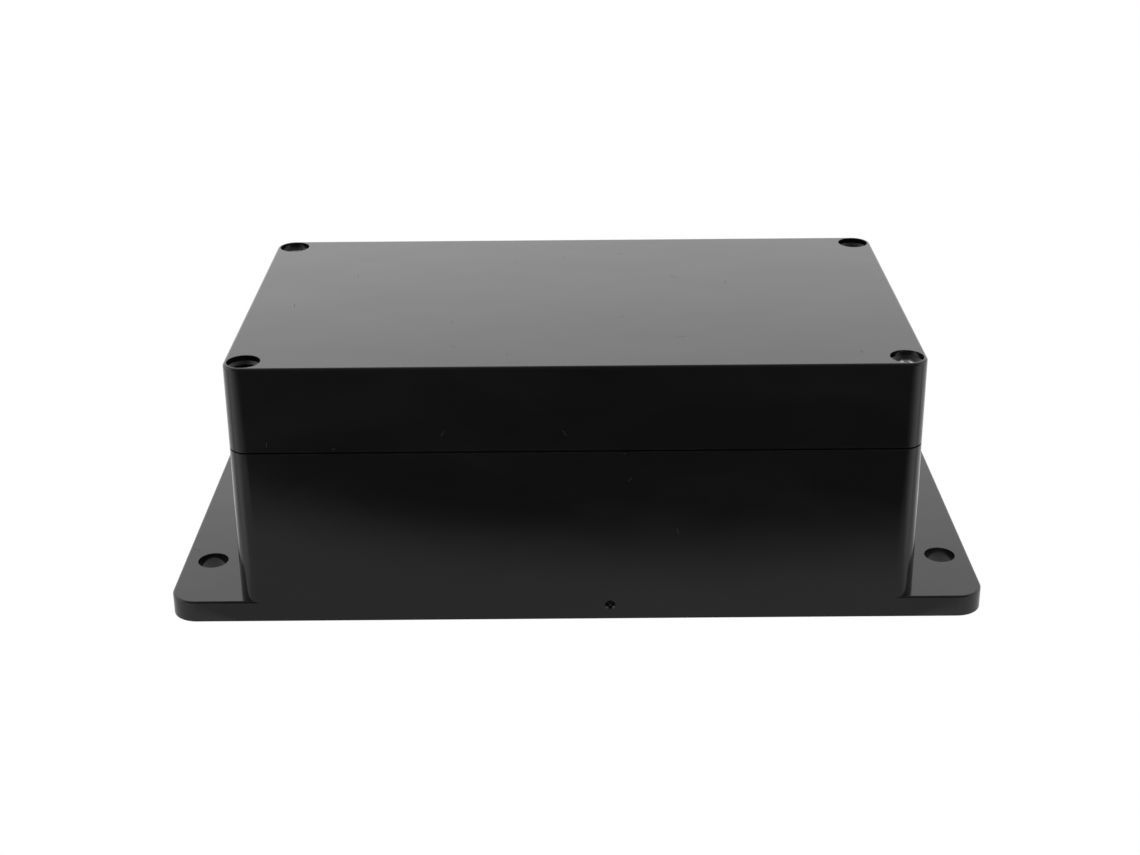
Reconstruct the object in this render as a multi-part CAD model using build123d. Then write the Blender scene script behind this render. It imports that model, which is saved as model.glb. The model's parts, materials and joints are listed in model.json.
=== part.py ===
from build123d import *

import os
from math import atan, cos, degrees, pi, radians, sin

# Cellular signal booster in a flanged, wall-mount plastic case. Millimetres, +Z up.
# The origin is the centre of the case's flat underside, which is the wall face.
# +X runs along the case towards one ear, and +Y towards the long wall with the ports.

# Case outline
BODY_LENGTH = 158.0
BODY_WIDTH = 90.0
BODY_HEIGHT = 64.0
SEAM_HEIGHT = 43.2
CORNER_RADIUS = 4.6
BASE_FLARE = 0.6
LID_FLARE = 0.2
WALL = 3.0
FLOOR = 3.0
ROOF = 3.0
INNER_RADIUS = 2.0
LID_EDGE_RADIUS = 0.6
SEAM_GAP_HEIGHT = 0.4
SEAM_GAP_DEPTH = 0.6
SEAM_EDGE_RADIUS = 0.12

# Ears and their holes
EAR_SPAN = 192.4
EAR_THICKNESS = 5.2
EAR_CORNER_RADIUS = 6.4
EAR_EDGE_RADIUS = 0.45
EAR_HOLE_RADIUS = 3.7
EAR_HOLE_X = 89.2
EAR_HOLE_Y = 25.2

# Lid screws, their wells, posts and inserts
SCREW_X = 74.25
SCREW_Y = 40.25
POST_RADIUS = 5.6
WELL_RADIUS = 3.8
WELL_STEP_DEPTH = 1.3
WELL_LOWER_RADIUS = 3.15
SEAT_DEPTH = 6.8
SCREW_HOLE_RADIUS = 1.8
SCREW_RADIUS = 1.5
SCREW_PITCH = 0.5
SCREW_LENGTH = 25.0
THREAD_DEPTH = 0.28
THREADED_LENGTH = 12.0
THREAD_START = 0.3
SHANK_LENGTH = 10.0
HEAD_RADIUS = 2.9
HEAD_HEIGHT = 2.4
HEAD_SIDE_HEIGHT = 2.05
HEAD_SHOULDER = (2.1, 2.29)
RECESS_WIDTH = 0.75
RECESS_REACH = 1.75
RECESS_DEPTH = 1.3
RECESS_TAPER = 9.0
WASHER_THICKNESS = 0.8
WASHER_RADIUS = 2.95
LOOSE_RISE = 2.2
INSERT_RADIUS = 2.3
INSERT_LENGTH = 8.0
INSERT_DEPTH = 0.3
INSERT_BORE_RADIUS = 1.54
PILOT_RADIUS = 2.0
PILOT_DEPTH = 15.0

# Seal groove, cord and lid rib
GROOVE_INSET = 1.6
GROOVE_CORNER_RADIUS = 3.0
GROOVE_JOG_ROUNDING = 1.2
GROOVE_JOG_RADIUS = 4.15
GROOVE_HALF_WIDTH = 0.65
GROOVE_DEPTH = 2.0
SEAL_HALF_WIDTH = 0.6
SEAL_HEIGHT = 1.3
RIB_HALF_WIDTH = 0.45
RIB_DROP = 0.65

# Moulding gate mark on the front wall
GATE_X = 7.85
GATE_Z = 3.6
GATE_RADIUS = 1.25
GATE_DEPTH = 1.0
GATE_FLOOR_RADIUS = 0.4
GATE_NUB_RADIUS = 0.25

# Flat port pad on the back wall
PAD_FACE_Y = 46.0
PAD_LENGTH = 124.0
PAD_HEIGHT = 27.0
PAD_CORNER_RADIUS = 2.5
PAD_CHAMFER = 0.3
PORT_Z = 24.0
INNER_WALL_Y = BODY_WIDTH / 2 - WALL

# Heat spreader
PLATE_LENGTH = 130.0
PLATE_WIDTH = 66.0
PLATE_THICKNESS = 3.0
BOARD_CENTRE_Y = -2.5
BOSS_TOP = 6.0
BOSS_RADIUS = 3.6
PLATE_SCREW_X = 58.5
PLATE_SCREW_Y = 18.0
PEDESTAL_LENGTH = 34.0
PEDESTAL_WIDTH = 20.0
PAD_THICKNESS = 1.0

# Circuit board and what stands on it
BOARD_LENGTH = 134.0
BOARD_WIDTH = 70.0
BOARD_THICKNESS = 1.6
STANDOFF_HEIGHT = 6.0
BOARD_SCREW_X = 61.0
BOARD_SCREW_Y = 29.0
PLATE_TOP = BOSS_TOP + PLATE_THICKNESS
BOARD_BOTTOM = PLATE_TOP + STANDOFF_HEIGHT
BOARD_TOP = BOARD_BOTTOM + BOARD_THICKNESS
SMALL_SCREW_RADIUS = 1.5
SMALL_SCREW_HEAD_RADIUS = 2.7
SMALL_SCREW_HEAD_HEIGHT = 1.8
SMALL_RECESS_WIDTH = 0.7
SMALL_RECESS_REACH = 1.5
SMALL_RECESS_DEPTH = 1.0
SPREADER_SCREW_LENGTH = 5.6
BOARD_SCREW_LENGTH = 5.5
STANDOFF_FLATS = 5.5
STUD_RADIUS = 1.26
CAN_LENGTH = 46.0
CAN_WIDTH = 28.0
CAN_HEIGHT = 5.0
CAN_SHEET = 0.3
CAN_GAP = 0.05
CAN_COVER_DEPTH = 3.0
VENT_RADIUS = 0.9
VENT_COLUMNS = 9
VENT_ROWS = 4
VENT_PITCH_X = 4.4
VENT_PITCH_Y = 5.6
CAN_X = 30.0
CAN_Y = -19.0
DUPLEXER_SIZE = (22.0, 13.0, 5.4)
DUPLEXER_Y = 12.0
RESONATORS = 6
RESONATOR_RADIUS = 0.7
AMPLIFIER_PLACES = ((-15, 5, 5.0), (-5, -5, 4.0), (6, 5, 4.0), (16, -4, 6.0))
AMPLIFIER_HEIGHT = 0.9
CONTROLLER_PLACE = (0, -16)
CONTROLLER_SIZE = (10.0, 10.0, 1.4)
INDUCTOR_PLACES = ((-16, 23), (-28, 24))
INDUCTOR_SIZE = (9.0, 9.0, 4.5)
CAPACITOR_PLACES = ((27, 24), (27, 14.5), (-7, 14))
CAPACITOR_FOOT = (8.2, 8.2, 1.0)
CAPACITOR_RADIUS = 4.0
CAPACITOR_HEIGHT = 9.0
CHIP_PART_SIZE = (1.2, 2.0, 0.9)
CHIP_PART_TURNED = (2.0, 1.2, 0.9)
SOCKET_X = 14.0
SOCKET_Y = 2.0
SOCKET_RADIUS = 2.25
PLUG_SIZE = (6.0, 6.0, 6.2)
PLUG_COLLAR_RADIUS = 2.9
FERRULE_RADIUS = 2.1
FERRULE_LENGTH = 5.0

# Antenna jacks (N size, 5/8-24 coupling thread)
JACK_X = 44.0
JACK_THREAD_RADIUS = 7.94
JACK_HOLE_RADIUS = 8.1
JACK_FLATS = 20.8
JACK_FLANGE_THICKNESS = 3.5
JACK_SEAL_THICKNESS = 1.0
JACK_REACH = 11.0
JACK_BORE_RADIUS = 4.5
JACK_BORE_DEPTH = 12.0
JACK_REAR_LENGTH = 5.5
JACK_STUB_RADIUS = 4.4
JACK_STUB_LENGTH = 6.5
INSULATOR_RADIUS = 3.25
LOCK_WASHER_RADIUS = 10.6
LOCK_WASHER_TEETH = 12
NUT_THICKNESS = 3.0
LOCK_WASHER_THICKNESS = 1.0
CONTACT_RADIUS = 1.5
COAX_RADIUS = 1.25

# Power inlet (5.5 mm plug, 2.1 mm pin)
INLET_X = 0.0
INLET_THREAD_RADIUS = 5.5
INLET_HOLE_RADIUS = 5.65
INLET_FLANGE_RADIUS = 7.2
INLET_BORE_RADIUS = 2.9
INLET_PIN_RADIUS = 1.05
INLET_DEPTH = 9.5
INLET_SEAL_THICKNESS = 0.8
INLET_FLANGE_THICKNESS = 2.2
INLET_MOUTH_Y = PAD_FACE_Y + INLET_SEAL_THICKNESS + INLET_FLANGE_THICKNESS
INLET_NUT_FLATS = 14.0
INLET_NUT_THICKNESS = 2.4
SPRING_Z = PORT_Z - INLET_BORE_RADIUS - 0.75
SPRING_HALF_WIDTH = 0.9
INLET_BACK_Y = 31.0
INLET_TAG_Y = 27.5
WIRE_RADIUS = 0.8
WIRE_OFFSET = 1.4
WIRE_END_Y = 4.6
WIRE_Z = BOARD_TOP + 2.9
HEADER_X = 3.0
HEADER_Y = 4.5
HEADER_SIZE = (8.0, 7.0, 5.6)

# Status lamp
LAMP_X = 17.0
LENS_RADIUS = 2.5
LENS_HEAD_RADIUS = 3.4
LENS_HEAD_HEIGHT = 1.6
LED_RADIUS = 1.5
LED_FLANGE_RADIUS = 1.8
LED_BACK_Y = 30.2
LED_TIP_Y = 35.0
LED_LEG = 0.5
LED_LEG_Y = 28.9

CORNERS = {
    "front_left": (-SCREW_X, -SCREW_Y, 0.0, 35.0),
    "front_right": (SCREW_X, -SCREW_Y, LOOSE_RISE, 42.0),
    "back_left": (-SCREW_X, SCREW_Y, LOOSE_RISE, 36.0),
    "back_right": (SCREW_X, SCREW_Y, 0.0, 80.0),
}
SIDES = {"outdoor": -1, "indoor": 1}
parts = {}


def solid_of(shape):
    """The one solid of a shape, free of its wrapping."""
    found = shape.solids()
    return found[0] if len(found) == 1 else Compound(children=list(found))


def group(shapes):
    """Separate solids kept together in one node."""
    return Compound(children=[s for shape in shapes for s in shape.solids()])


def block(centre, size, z_bottom):
    """A box that stands on z_bottom."""
    x, y = centre
    return Pos(x, y, z_bottom + size[2] / 2) * Box(*size)


def post(x, y, z, radius, height):
    """An upright cylinder that stands on z."""
    return Pos(x, y, z + height / 2) * Cylinder(radius, height)


def along_back(x, y_from, y_to, radius, z=PORT_Z):
    """A round bar along Y between two planes."""
    length = abs(y_to - y_from)
    return Pos(x, (y_from + y_to) / 2, z) * Rot(X=90) * Cylinder(radius, length)


def hexagon_along_back(x, y_from, y_to, flats, z=PORT_Z):
    """A hexagonal bar along Y between two planes, with a corner up."""
    corner_radius = flats / 2 / cos(radians(30))
    outline = Plane((x, y_from, z), x_dir=(0, 0, 1), z_dir=(0, 1, 0)) * RegularPolygon(
        corner_radius, 6
    )
    return extrude(outline, y_to - y_from)


def mirrored_places(x, y):
    """The four places of a rectangle of holes."""
    return [(sx * x, sy * y) for sx in (-1, 1) for sy in (-1, 1)]


def tapered_block(length, width, radius, height, shrink):
    """A round-cornered block whose walls lean in by shrink over its height."""
    outline = RectangleRounded(length, width, radius)
    return extrude(outline, height, taper=degrees(atan(shrink / height)))


def rim_region():
    """The area inside the seal's centre line, which jogs inside each screw post."""
    region = RectangleRounded(
        BODY_LENGTH - 2 * GROOVE_INSET,
        BODY_WIDTH - 2 * GROOVE_INSET,
        GROOVE_CORNER_RADIUS,
    )
    for x, y in mirrored_places(SCREW_X, SCREW_Y):
        region -= Pos(x, y) * Circle(GROOVE_JOG_RADIUS)
    return fillet(region.vertices(), GROOVE_JOG_ROUNDING)


def rim_loop(half_width, z, height):
    """A closed strip that follows the seal's centre line."""
    region = rim_region()
    strip = offset(region, half_width) - offset(region, -half_width)
    return Pos(0, 0, z) * extrude(strip, height)


def corner_posts(z, height):
    """The four screw posts, each filled out to the case's corner."""
    reach_x = BODY_LENGTH / 2 - SCREW_X
    reach_y = BODY_WIDTH / 2 - SCREW_Y
    posts = []
    for x, y in mirrored_places(SCREW_X, SCREW_Y):
        sx = x / abs(x)
        sy = y / abs(y)
        posts.append(post(x, y, z, POST_RADIUS, height))
        web_x = (POST_RADIUS + reach_x, reach_y + 0.5, height)
        web_y = (reach_x + 0.5, POST_RADIUS + reach_y, height)
        centre_x = x + sx * (reach_x - POST_RADIUS) / 2
        centre_y = y + sy * (reach_y - POST_RADIUS) / 2
        posts.append(block((centre_x, y + sy * reach_y / 2), web_x, z))
        posts.append(block((x + sx * reach_x / 2, centre_y), web_y, z))
    return posts


def gate_mark(housing):
    """The small cone, with a nub in it, where the moulding gate broke off the front wall."""
    front_y = -BODY_WIDTH / 2 - BASE_FLARE * (1 - GATE_Z / SEAM_HEIGHT)
    cone = Cone(GATE_RADIUS, GATE_FLOOR_RADIUS, GATE_DEPTH)
    housing -= Pos(GATE_X, front_y + GATE_DEPTH / 2 - 0.03, GATE_Z) * Rot(X=-90) * cone
    return housing + along_back(GATE_X, front_y, front_y + 1, GATE_NUB_RADIUS, GATE_Z)


def base_housing():
    bottom_length = BODY_LENGTH + 2 * BASE_FLARE
    bottom_width = BODY_WIDTH + 2 * BASE_FLARE
    bottom_radius = CORNER_RADIUS + BASE_FLARE
    outer = tapered_block(
        bottom_length, bottom_width, bottom_radius, SEAM_HEIGHT, BASE_FLARE
    )
    ear_shrink = BASE_FLARE * EAR_THICKNESS / SEAM_HEIGHT
    ears = tapered_block(
        EAR_SPAN, bottom_width, EAR_CORNER_RADIUS, EAR_THICKNESS, ear_shrink
    )
    ears = fillet(ears.faces().sort_by(Axis.Z)[-1].edges(), EAR_EDGE_RADIUS)
    for x, y in mirrored_places(EAR_HOLE_X, EAR_HOLE_Y):
        ears -= post(x, y, -1, EAR_HOLE_RADIUS, EAR_THICKNESS + 2)
    rim = outer.faces().sort_by(Axis.Z)[-1].edges()
    outer = fillet(rim, SEAM_EDGE_RADIUS)
    inner_height = SEAM_HEIGHT - FLOOR + 1
    inner = Pos(0, 0, FLOOR) * extrude(
        RectangleRounded(BODY_LENGTH - 2 * WALL, BODY_WIDTH - 2 * WALL, INNER_RADIUS),
        inner_height,
    )
    for corner in corner_posts(FLOOR, inner_height):
        inner -= corner
    housing = outer + ears - inner
    pad = Pos(0, PAD_FACE_Y - WALL / 2, PORT_Z) * Rot(X=90) * extrude(
        RectangleRounded(PAD_LENGTH, PAD_HEIGHT, PAD_CORNER_RADIUS), WALL / 2, both=True
    )
    pad = chamfer(pad.faces().sort_by(Axis.Y)[-1].edges(), PAD_CHAMFER)
    housing += pad
    for x, y in mirrored_places(SCREW_X, SCREW_Y):
        insert_bottom = SEAM_HEIGHT - INSERT_DEPTH - INSERT_LENGTH
        housing -= post(x, y, insert_bottom, INSERT_RADIUS, INSERT_LENGTH + 1)
        housing -= post(x, y, SEAM_HEIGHT - PILOT_DEPTH, PILOT_RADIUS, PILOT_DEPTH)
    housing -= rim_loop(GROOVE_HALF_WIDTH, SEAM_HEIGHT - GROOVE_DEPTH, GROOVE_DEPTH + 1)
    for x, y in mirrored_places(PLATE_SCREW_X, PLATE_SCREW_Y):
        place = (x, y + BOARD_CENTRE_Y)
        boss = post(*place, FLOOR - 0.5, BOSS_RADIUS, BOSS_TOP - FLOOR + 0.5)
        housing += boss - post(*place, FLOOR, SMALL_SCREW_RADIUS + 0.04, BOSS_TOP)
    for side in SIDES.values():
        housing -= along_back(
            side * JACK_X, INNER_WALL_Y - 1, PAD_FACE_Y + 1, JACK_HOLE_RADIUS
        )
    housing -= along_back(INLET_X, INNER_WALL_Y - 1, PAD_FACE_Y + 1, INLET_HOLE_RADIUS)
    housing -= along_back(LAMP_X, INNER_WALL_Y - 1, PAD_FACE_Y + 1, LENS_RADIUS + 0.05)
    return gate_mark(housing)


def lid():
    height = BODY_HEIGHT - SEAM_HEIGHT
    shell = tapered_block(BODY_LENGTH, BODY_WIDTH, CORNER_RADIUS, height, LID_FLARE)
    shell = Pos(0, 0, SEAM_HEIGHT) * shell
    shell = fillet(shell.faces().sort_by(Axis.Z)[-1].edges(), LID_EDGE_RADIUS)
    land = RectangleRounded(
        BODY_LENGTH - 2 * SEAM_GAP_DEPTH,
        BODY_WIDTH - 2 * SEAM_GAP_DEPTH,
        CORNER_RADIUS - SEAM_GAP_DEPTH,
    )
    around = Rectangle(BODY_LENGTH + 2, BODY_WIDTH + 2) - land
    shell -= Pos(0, 0, SEAM_HEIGHT) * extrude(around, SEAM_GAP_HEIGHT)
    hollow = Pos(0, 0, SEAM_HEIGHT - 1) * extrude(
        RectangleRounded(BODY_LENGTH - 2 * WALL, BODY_WIDTH - 2 * WALL, INNER_RADIUS),
        height - ROOF + 1,
    )
    for corner in corner_posts(SEAM_HEIGHT - 1, height + 2):
        hollow -= corner
    shell -= hollow
    shell += rim_loop(RIB_HALF_WIDTH, SEAM_HEIGHT - RIB_DROP, RIB_DROP + 0.5)
    cone_height = WELL_RADIUS - WELL_LOWER_RADIUS
    cone = Cone(WELL_LOWER_RADIUS, WELL_RADIUS, cone_height)
    cone_z = BODY_HEIGHT - WELL_STEP_DEPTH - cone_height / 2
    for x, y in mirrored_places(SCREW_X, SCREW_Y):
        shell -= post(x, y, BODY_HEIGHT - WELL_STEP_DEPTH, WELL_RADIUS, 3.0)
        shell -= Pos(x, y, cone_z) * cone
        shell -= post(x, y, BODY_HEIGHT - SEAT_DEPTH, WELL_LOWER_RADIUS, SEAT_DEPTH)
        shell -= post(x, y, SEAM_HEIGHT - 1, SCREW_HOLE_RADIUS, height)
    return shell


def lid_gasket():
    return rim_loop(SEAL_HALF_WIDTH, SEAM_HEIGHT - GROOVE_DEPTH, SEAL_HEIGHT)


def lid_screw_inserts():
    bottom = SEAM_HEIGHT - INSERT_DEPTH - INSERT_LENGTH
    inserts = []
    for x, y in mirrored_places(SCREW_X, SCREW_Y):
        sleeve = post(x, y, bottom, INSERT_RADIUS, INSERT_LENGTH)
        sleeve = chamfer(sleeve.edges().filter_by(GeomType.CIRCLE), 0.2)
        inserts.append(
            sleeve - post(x, y, bottom - 1, INSERT_BORE_RADIUS, INSERT_LENGTH + 2)
        )
    return group(inserts)


def thread_profile(radius, depth, pitch, z_bottom, length):
    """Points up the outside of a screw's thread, from its end to its plain shank."""
    points = []
    for turn in range(round(length / pitch)):
        z = z_bottom + turn * pitch
        points.append((radius - depth, z))
        points.append((radius, z + pitch / 2))
    points.append((radius - depth, z_bottom + length))
    return points


def cross_recess(z_top, width, reach, depth):
    """A cross-shaped driver recess that narrows to its bottom."""
    start = Pos(0, 0, z_top + 0.05)
    along_x = extrude(start * Rectangle(2 * reach, width), -depth, taper=RECESS_TAPER)
    along_y = extrude(start * Rectangle(width, 2 * reach), -depth, taper=RECESS_TAPER)
    return along_x + along_y


def lid_screw(x, y, rise, turn):
    head_bottom = BODY_HEIGHT - SEAT_DEPTH + WASHER_THICKNESS + rise
    tip = head_bottom - SCREW_LENGTH
    outline = [(0, tip), (SCREW_RADIUS - THREAD_DEPTH, tip)]
    outline += thread_profile(
        SCREW_RADIUS, THREAD_DEPTH, SCREW_PITCH, tip + THREAD_START, THREADED_LENGTH
    )
    outline += [(SCREW_RADIUS, head_bottom - SHANK_LENGTH), (SCREW_RADIUS, head_bottom)]
    outline += [(HEAD_RADIUS, head_bottom), (HEAD_RADIUS, head_bottom + HEAD_SIDE_HEIGHT)]
    shoulder_radius, shoulder_height = HEAD_SHOULDER
    profile = Plane.XZ * make_face(
        Polyline(*outline)
        + ThreePointArc(
            (HEAD_RADIUS, head_bottom + HEAD_SIDE_HEIGHT),
            (shoulder_radius, head_bottom + shoulder_height),
            (0, head_bottom + HEAD_HEIGHT),
        )
        + Line((0, head_bottom + HEAD_HEIGHT), (0, tip))
    )
    screw = revolve(profile, Axis.Z)
    head_top = head_bottom + HEAD_HEIGHT
    screw -= cross_recess(head_top, RECESS_WIDTH, RECESS_REACH, RECESS_DEPTH)
    return Pos(x, y, 0) * Rot(Z=turn) * screw


def lid_screw_washer(x, y, rise):
    seat = BODY_HEIGHT - SEAT_DEPTH + rise
    ring = post(x, y, seat, WASHER_RADIUS, WASHER_THICKNESS)
    ring = chamfer(ring.edges().filter_by(GeomType.CIRCLE), 0.12)
    return ring - post(x, y, seat - 1, SCREW_RADIUS + 0.06, WASHER_THICKNESS + 2)


def heat_spreader():
    plate = Pos(0, BOARD_CENTRE_Y, BOSS_TOP) * extrude(
        RectangleRounded(PLATE_LENGTH, PLATE_WIDTH, 3.0), PLATE_THICKNESS
    )
    pedestal_height = STANDOFF_HEIGHT - PAD_THICKNESS
    for side in SIDES.values():
        plate += block(
            (side * CAN_X, CAN_Y),
            (PEDESTAL_LENGTH, PEDESTAL_WIDTH, pedestal_height),
            PLATE_TOP,
        )
    for x, y in mirrored_places(PLATE_SCREW_X, PLATE_SCREW_Y):
        plate -= post(x, y + BOARD_CENTRE_Y, BOSS_TOP - 1, 1.7, PLATE_THICKNESS + 2)
    for x, y in mirrored_places(BOARD_SCREW_X, BOARD_SCREW_Y):
        plate -= post(x, y + BOARD_CENTRE_Y, BOSS_TOP - 1, 1.3, PLATE_THICKNESS + 2)
    return plate


def small_screw(x, y, seat, length, clearance=0.0):
    """A small cross-recessed screw whose head sits on seat."""
    shank = post(x, y, seat - length, SMALL_SCREW_RADIUS - clearance, length)
    head = post(x, y, seat, SMALL_SCREW_HEAD_RADIUS, SMALL_SCREW_HEAD_HEIGHT)
    head = fillet(head.edges().sort_by(Axis.Z)[-1], 0.6)
    recess = cross_recess(
        seat + SMALL_SCREW_HEAD_HEIGHT,
        SMALL_RECESS_WIDTH,
        SMALL_RECESS_REACH,
        SMALL_RECESS_DEPTH,
    )
    return shank + head - Pos(x, y, 0) * recess


def spreader_screws():
    return group(
        small_screw(x, y + BOARD_CENTRE_Y, PLATE_TOP, SPREADER_SCREW_LENGTH)
        for x, y in mirrored_places(PLATE_SCREW_X, PLATE_SCREW_Y)
    )


def thermal_pads():
    size = (PEDESTAL_LENGTH, PEDESTAL_WIDTH, PAD_THICKNESS)
    return group(
        block((side * CAN_X, CAN_Y), size, BOARD_BOTTOM - PAD_THICKNESS)
        for side in SIDES.values()
    )


def board_standoffs():
    outline = RegularPolygon(STANDOFF_FLATS / 2 / cos(radians(30)), 6)
    studs = []
    for x, y in mirrored_places(BOARD_SCREW_X, BOARD_SCREW_Y):
        y += BOARD_CENTRE_Y
        column = Pos(x, y, PLATE_TOP) * extrude(outline, STANDOFF_HEIGHT)
        stud = post(x, y, BOSS_TOP, STUD_RADIUS, PLATE_THICKNESS)
        studs.append(column + stud - post(x, y, BOARD_BOTTOM - 5, STUD_RADIUS - 0.02, 6))
    return group(studs)


def board_screws():
    return group(
        small_screw(x, y + BOARD_CENTRE_Y, BOARD_TOP, BOARD_SCREW_LENGTH, 0.3)
        for x, y in mirrored_places(BOARD_SCREW_X, BOARD_SCREW_Y)
    )


def main_board():
    board = Pos(0, BOARD_CENTRE_Y, BOARD_BOTTOM) * extrude(
        RectangleRounded(BOARD_LENGTH, BOARD_WIDTH, 2.0), BOARD_THICKNESS
    )
    for x, y in mirrored_places(BOARD_SCREW_X, BOARD_SCREW_Y):
        board -= post(x, y + BOARD_CENTRE_Y, BOARD_BOTTOM - 1, 1.6, 4)
    for x, y in mirrored_places(PLATE_SCREW_X, PLATE_SCREW_Y):
        board -= post(x, y + BOARD_CENTRE_Y, BOARD_BOTTOM - 1, 3.2, 4)
    return board


def shield_frame(side):
    """The soldered wall of a screening can."""
    outline = Rectangle(CAN_LENGTH, CAN_WIDTH)
    inner = Rectangle(CAN_LENGTH - 2 * CAN_SHEET, CAN_WIDTH - 2 * CAN_SHEET)
    frame = extrude(outline - inner, CAN_HEIGHT - CAN_SHEET)
    bar = block((0, 0), (CAN_SHEET, CAN_WIDTH - CAN_SHEET, CAN_HEIGHT - 2.2), 1.2)
    return Pos(side * CAN_X, CAN_Y, BOARD_TOP) * (frame + bar)


def shield_lid(side):
    """The snap-on cover of a screening can, with rows of vent holes."""
    inner_length = CAN_LENGTH + 2 * CAN_GAP
    inner_width = CAN_WIDTH + 2 * CAN_GAP
    length = inner_length + 2 * CAN_SHEET
    width = inner_width + 2 * CAN_SHEET
    skirt_bottom = CAN_HEIGHT - CAN_COVER_DEPTH
    cover = block((0, 0), (length, width, CAN_COVER_DEPTH), skirt_bottom + CAN_SHEET)
    cover = fillet(cover.edges().filter_by(Axis.Z), 0.5)
    cover -= block((0, 0), (inner_length, inner_width, CAN_COVER_DEPTH), skirt_bottom)
    for column in range(VENT_COLUMNS):
        for row in range(VENT_ROWS):
            x = (column - (VENT_COLUMNS - 1) / 2) * VENT_PITCH_X
            y = (row - (VENT_ROWS - 1) / 2) * VENT_PITCH_Y
            cover -= post(x, y, CAN_HEIGHT - 1, VENT_RADIUS, 2)
    return Pos(side * CAN_X, CAN_Y, BOARD_TOP) * cover


def amplifiers(side):
    """The chain of amplifier chips inside a screening can."""
    chips = []
    for x, y, width in AMPLIFIER_PLACES:
        size = (width, width, AMPLIFIER_HEIGHT)
        chip = block((side * CAN_X + x, CAN_Y + y), size, BOARD_TOP)
        chips.append(chamfer(chip.faces().sort_by(Axis.Z)[-1].edges(), 0.1))
    return group(chips)


def duplexer(side):
    """A ceramic block with a row of resonator holes along Y."""
    length, width, height = DUPLEXER_SIZE
    x = side * JACK_X
    body = block((x, DUPLEXER_Y), DUPLEXER_SIZE, BOARD_TOP)
    body = fillet(body.edges().filter_by(Axis.Y), 0.5)
    pitch = length / (RESONATORS + 1)
    y_from = DUPLEXER_Y - width / 2 - 1
    y_to = DUPLEXER_Y + width / 2 + 1
    for hole in range(RESONATORS):
        place = x + (hole - (RESONATORS - 1) / 2) * pitch
        body -= along_back(place, y_from, y_to, RESONATOR_RADIUS, BOARD_TOP + height / 2)
    return body


def controller_chip():
    x, y = CONTROLLER_PLACE
    height = CONTROLLER_SIZE[2]
    chip = block((x, y), CONTROLLER_SIZE, BOARD_TOP)
    chip = chamfer(chip.faces().sort_by(Axis.Z)[-1].edges(), 0.2)
    return chip - post(x - 3.8, y + 3.8, BOARD_TOP + height - 0.1, 0.5, 1)


def power_inductors():
    coils = []
    for place in INDUCTOR_PLACES:
        coil = block(place, INDUCTOR_SIZE, BOARD_TOP)
        coil = fillet(coil.edges().filter_by(Axis.Z), 1.4)
        coils.append(chamfer(coil.faces().sort_by(Axis.Z)[-1].edges(), 0.4))
    return group(coils)


def filter_capacitors():
    """Upright can capacitors, each on its square base."""
    cans = []
    can_bottom = BOARD_TOP + CAPACITOR_FOOT[2]
    for place in CAPACITOR_PLACES:
        foot = block(place, CAPACITOR_FOOT, BOARD_TOP)
        can = post(*place, can_bottom, CAPACITOR_RADIUS, CAPACITOR_HEIGHT)
        can = fillet(can.edges().sort_by(Axis.Z)[-1], 0.6)
        cans.append(foot + can)
    return group(cans)


def chip_parts():
    """Small ceramic chip parts in rows about the board."""
    chips = []
    for side in SIDES.values():
        for column in range(7):
            place = (side * (56 - column * 2.4), -1.5)
            chips.append(block(place, CHIP_PART_SIZE, BOARD_TOP))
        for row in range(6):
            place = (side * 59.5, row * 2.6 - 12)
            chips.append(block(place, CHIP_PART_TURNED, BOARD_TOP))
    for column in range(5):
        for y in (-24.5, -7.5):
            chips.append(block((-5 + column * 2.4, y), CHIP_PART_SIZE, BOARD_TOP))
    return group(chips)


def power_header():
    """A side-entry header, with a hole for each wire."""
    header = block((HEADER_X, HEADER_Y), HEADER_SIZE, BOARD_TOP)
    header = chamfer(header.edges().filter_by(Axis.Y), 0.4)
    mouth_y = HEADER_Y + HEADER_SIZE[1] / 2
    for offset_x in (-WIRE_OFFSET, WIRE_OFFSET):
        header -= along_back(
            HEADER_X + offset_x, WIRE_END_Y - 0.05, mouth_y + 1, WIRE_RADIUS + 0.05, WIRE_Z
        )
    return header


def jack_faces():
    """Where an antenna jack's parts meet along Y: seal, flange, mouth, nut and stub."""
    flange_back = PAD_FACE_Y + JACK_SEAL_THICKNESS
    flange_front = flange_back + JACK_FLANGE_THICKNESS
    mouth = flange_front + JACK_REACH
    washer_back = INNER_WALL_Y - LOCK_WASHER_THICKNESS
    thread_end = INNER_WALL_Y - JACK_REAR_LENGTH
    stub_end = thread_end - JACK_STUB_LENGTH
    return flange_back, flange_front, mouth, washer_back, thread_end, stub_end


def jack_body(x):
    flange_back, flange_front, mouth, _, thread_end, stub_end = jack_faces()
    body = along_back(x, thread_end, mouth, JACK_THREAD_RADIUS)
    ends = body.edges().filter_by(GeomType.CIRCLE)
    body = chamfer(ends, 0.6)
    flange = hexagon_along_back(x, flange_back, flange_front, JACK_FLATS)
    rounding = along_back(x, flange_back, flange_front, JACK_FLATS / 2 + 1.1)
    rounding = chamfer(rounding.edges().filter_by(GeomType.CIRCLE), 0.5)
    body += flange & rounding
    body += along_back(x, stub_end, thread_end + 1, JACK_STUB_RADIUS)
    body -= along_back(x, mouth - JACK_BORE_DEPTH, mouth + 1, JACK_BORE_RADIUS)
    body -= along_back(x, thread_end, mouth, INSULATOR_RADIUS + 0.05)
    body -= along_back(x, stub_end - 1, mouth, COAX_RADIUS + 0.15)
    return body


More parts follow.
